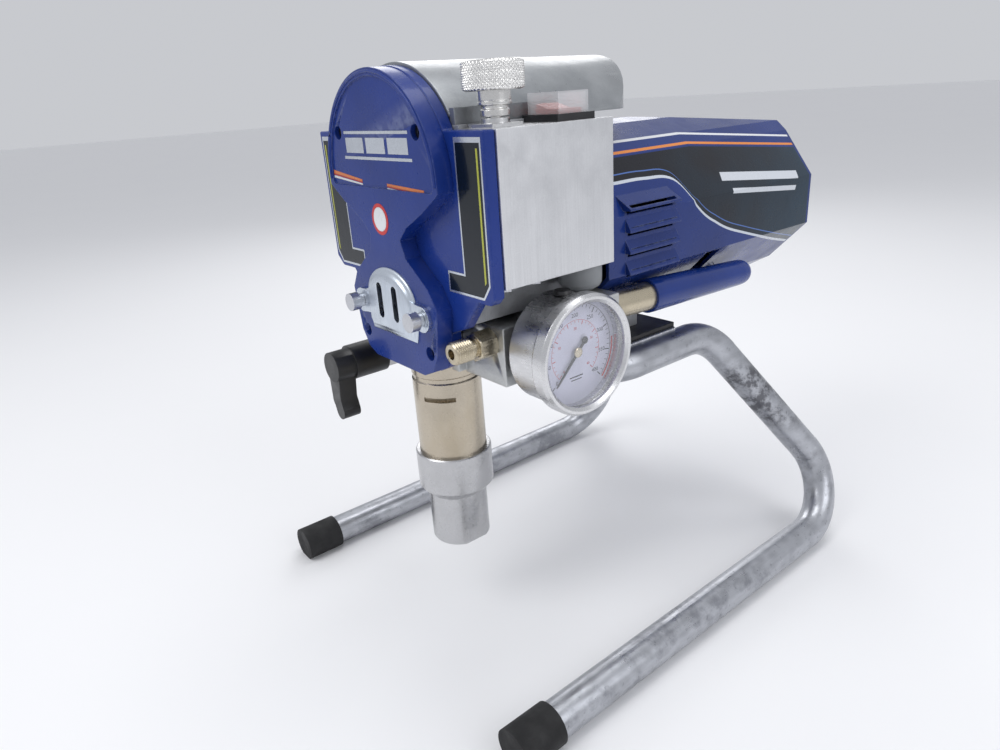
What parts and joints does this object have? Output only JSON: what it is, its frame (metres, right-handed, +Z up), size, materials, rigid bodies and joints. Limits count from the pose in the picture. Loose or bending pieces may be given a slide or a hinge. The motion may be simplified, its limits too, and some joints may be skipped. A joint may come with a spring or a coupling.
{
  "type": "airless paint sprayer",
  "caption": "Electric airless paint sprayer: piston pump, gear case, motor under a shroud, control box, gauge and filter on a bent-tube skid.",
  "frame": {"origin": "middle of the footprint, on the floor the skids stand on", "axes": "+Z up, -Y the front with the pump, +X the side with the control box and the gauge"},
  "size_m": [0.2852, 0.351, 0.354],
  "materials": {
    "galvanised": "worn zinc coating with a soft streaky shine",
    "cap_rubber": "matt moulded rubber",
    "black_steel": "satin black paint",
    "zinc_screw": "zinc plate",
    "dark_screw": "blackened steel",
    "cast_grey": "cast with a fine grain",
    "bonnet_grey": "satin silver-grey paint",
    "blue_paint": "gloss blue powder coat",
    "shroud_blue": "gloss moulding with plain black panels",
    "zinc_plate": "bright zinc plate",
    "brushed_aluminium": "brushed sheet",
    "board_green": "board with parts",
    "pot_metal": "turned",
    "knob_metal": "knurled and turned",
    "black_plastic": "fine grained moulding",
    "rocker_red": "gloss",
    "clear_cover": "clear flexible cap",
    "gland_grey": "cast",
    "gauge_steel": "satin stainless steel",
    "gauge_glass": "clear",
    "dial_white": "printed plain scale",
    "needle_black": "matt",
    "brass": "nickelled brass worn through",
    "manifold_alloy": "cast and machined",
    "filter_mesh": "wire mesh",
    "grip_blue": "dipped gloss vinyl",
    "nickel": "nickel plate",
    "lever_black": "gloss moulding",
    "cylinder_brass": "turned, pale",
    "packing_white": "stacked packing",
    "pump_steel": "turned bright steel",
    "ground_steel": "ground",
    "gear_steel": "oiled, machined",
    "motor_black": "black paint",
    "copper_winding": "laminations with enamelled copper",
    "fan_black": "moulded"
  },
  "bodies": {
    "root": {"frame_tube": "galvanised", "foot_cap_left": "cap_rubber", "foot_cap_right": "cap_rubber", "mounting_plate": "black_steel", "plate_bolts": "zinc_screw", "gear_housing": "cast_grey", "top_bonnet": "bonnet_grey", "housing_flange": "blue_paint", "front_cover": "blue_paint", "cover_screws": "dark_screw", "finger_guard": "zinc_plate", "guard_thumb_screws": "zinc_screw", "control_box": "brushed_aluminium", "box_screws": "zinc_screw", "circuit_board": "board_green", "pressure_pot": "pot_metal", "knob_bushing": "pot_metal", "switch_body": "black_plastic", "switch_cover": "clear_cover", "cable_gland": "gland_grey", "gauge_case": "gauge_steel", "gauge_bezel": "gauge_steel", "gauge_glass": "gauge_glass", "gauge_dial": "dial_white", "gauge_fill_plug": "black_plastic", "gauge_adaptor": "brass", "fluid_manifold": "manifold_alloy", "manifold_plug": "zinc_screw", "outlet_fitting": "brass", "filter_tube": "brass", "filter_element": "filter_mesh", "filter_grip": "grip_blue", "prime_valve_body": "nickel", "pump_cylinder": "cylinder_brass", "packing_seal": "packing_white", "pump_collar": "pump_steel", "foot_valve": "pump_steel", "crank_bearing": "ground_steel", "motor_can": "motor_black", "stator": "copper_winding", "rear_bearing": "ground_steel", "motor_shroud": "shroud_blue", "shroud_screws": "zinc_screw"},
    "knob": {"pressure_knob": "knob_metal"},
    "rocker": {"switch_rocker": "rocker_red"},
    "needle": {"gauge_needle": "needle_black"},
    "lever": {"prime_lever": "lever_black", "prime_valve_stem": "nickel"},
    "rotor": {"armature": "copper_winding", "cooling_fan": "fan_black"},
    "lay": {"lay_shaft": "ground_steel", "lay_gears": "gear_steel"},
    "crank": {"crankshaft": "ground_steel", "crank_gear": "gear_steel"},
    "conrod": {"connecting_rod": "gear_steel"},
    "piston": {"piston_rod": "ground_steel"},
    "inlet_check": {"inlet_ball": "ground_steel"},
    "outlet_check": {"outlet_ball": "ground_steel"}
  },
  "joints": [
    {"name": "crank_spin", "type": "hinge", "parent": "root", "child": "crank", "pos_m": [0, -0.079, 0.272], "axis": [0, 1, 0], "continuous": true},
    {"name": "lay_spin", "type": "hinge", "parent": "root", "child": "lay", "pos_m": [-0.02622, -0.07, 0.23543], "axis": [0, 1, 0], "continuous": true},
    {"name": "motor_spin", "type": "hinge", "parent": "root", "child": "rotor", "pos_m": [0, 0.03, 0.25], "axis": [0, 1, 0], "continuous": true},
    {"name": "crank_pin", "type": "hinge", "parent": "crank", "child": "conrod", "pos_m": [0, -0.1095, 0.265], "axis": [0, 1, 0], "continuous": true},
    {"name": "piston_stroke", "type": "slide", "parent": "root", "child": "piston", "axis": [0, 0, 1], "range_m": [0, 0.014]},
    {"name": "outlet_ball_lift", "type": "slide", "parent": "piston", "child": "outlet_check", "axis": [0, 0, 1], "range_m": [0, 0.003]},
    {"name": "inlet_ball_lift", "type": "slide", "parent": "root", "child": "inlet_check", "axis": [0, 0, 1], "range_m": [0, 0.004]},
    {"name": "prime_lever_turn", "type": "hinge", "parent": "root", "child": "lever", "pos_m": [-0.056, -0.15, 0.177], "axis": [0, 1, 0], "range_deg": [0, 90]},
    {"name": "knob_turn", "type": "hinge", "parent": "root", "child": "knob", "pos_m": [0.068, -0.111, 0.33], "axis": [0, 0, 1], "range_deg": [-135, 135]},
    {"name": "rocker_switch", "type": "hinge", "parent": "root", "child": "rocker", "pos_m": [0.0675, -0.069, 0.323], "axis": [0, 1, 0], "range_deg": [-18, 0]},
    {"name": "needle_swing", "type": "hinge", "parent": "root", "child": "needle", "pos_m": [0.0905, -0.082, 0.2008], "axis": [-1, 0, 0], "range_deg": [0, 270]}
  ],
  "couplings": [
    {"joint": "lay_spin", "follows": "crank_spin", "ratio": -5},
    {"joint": "motor_spin", "follows": "crank_spin", "ratio": 25},
    {"joint": "crank_pin", "follows": "crank_spin", "ratio": -1}
  ]
}
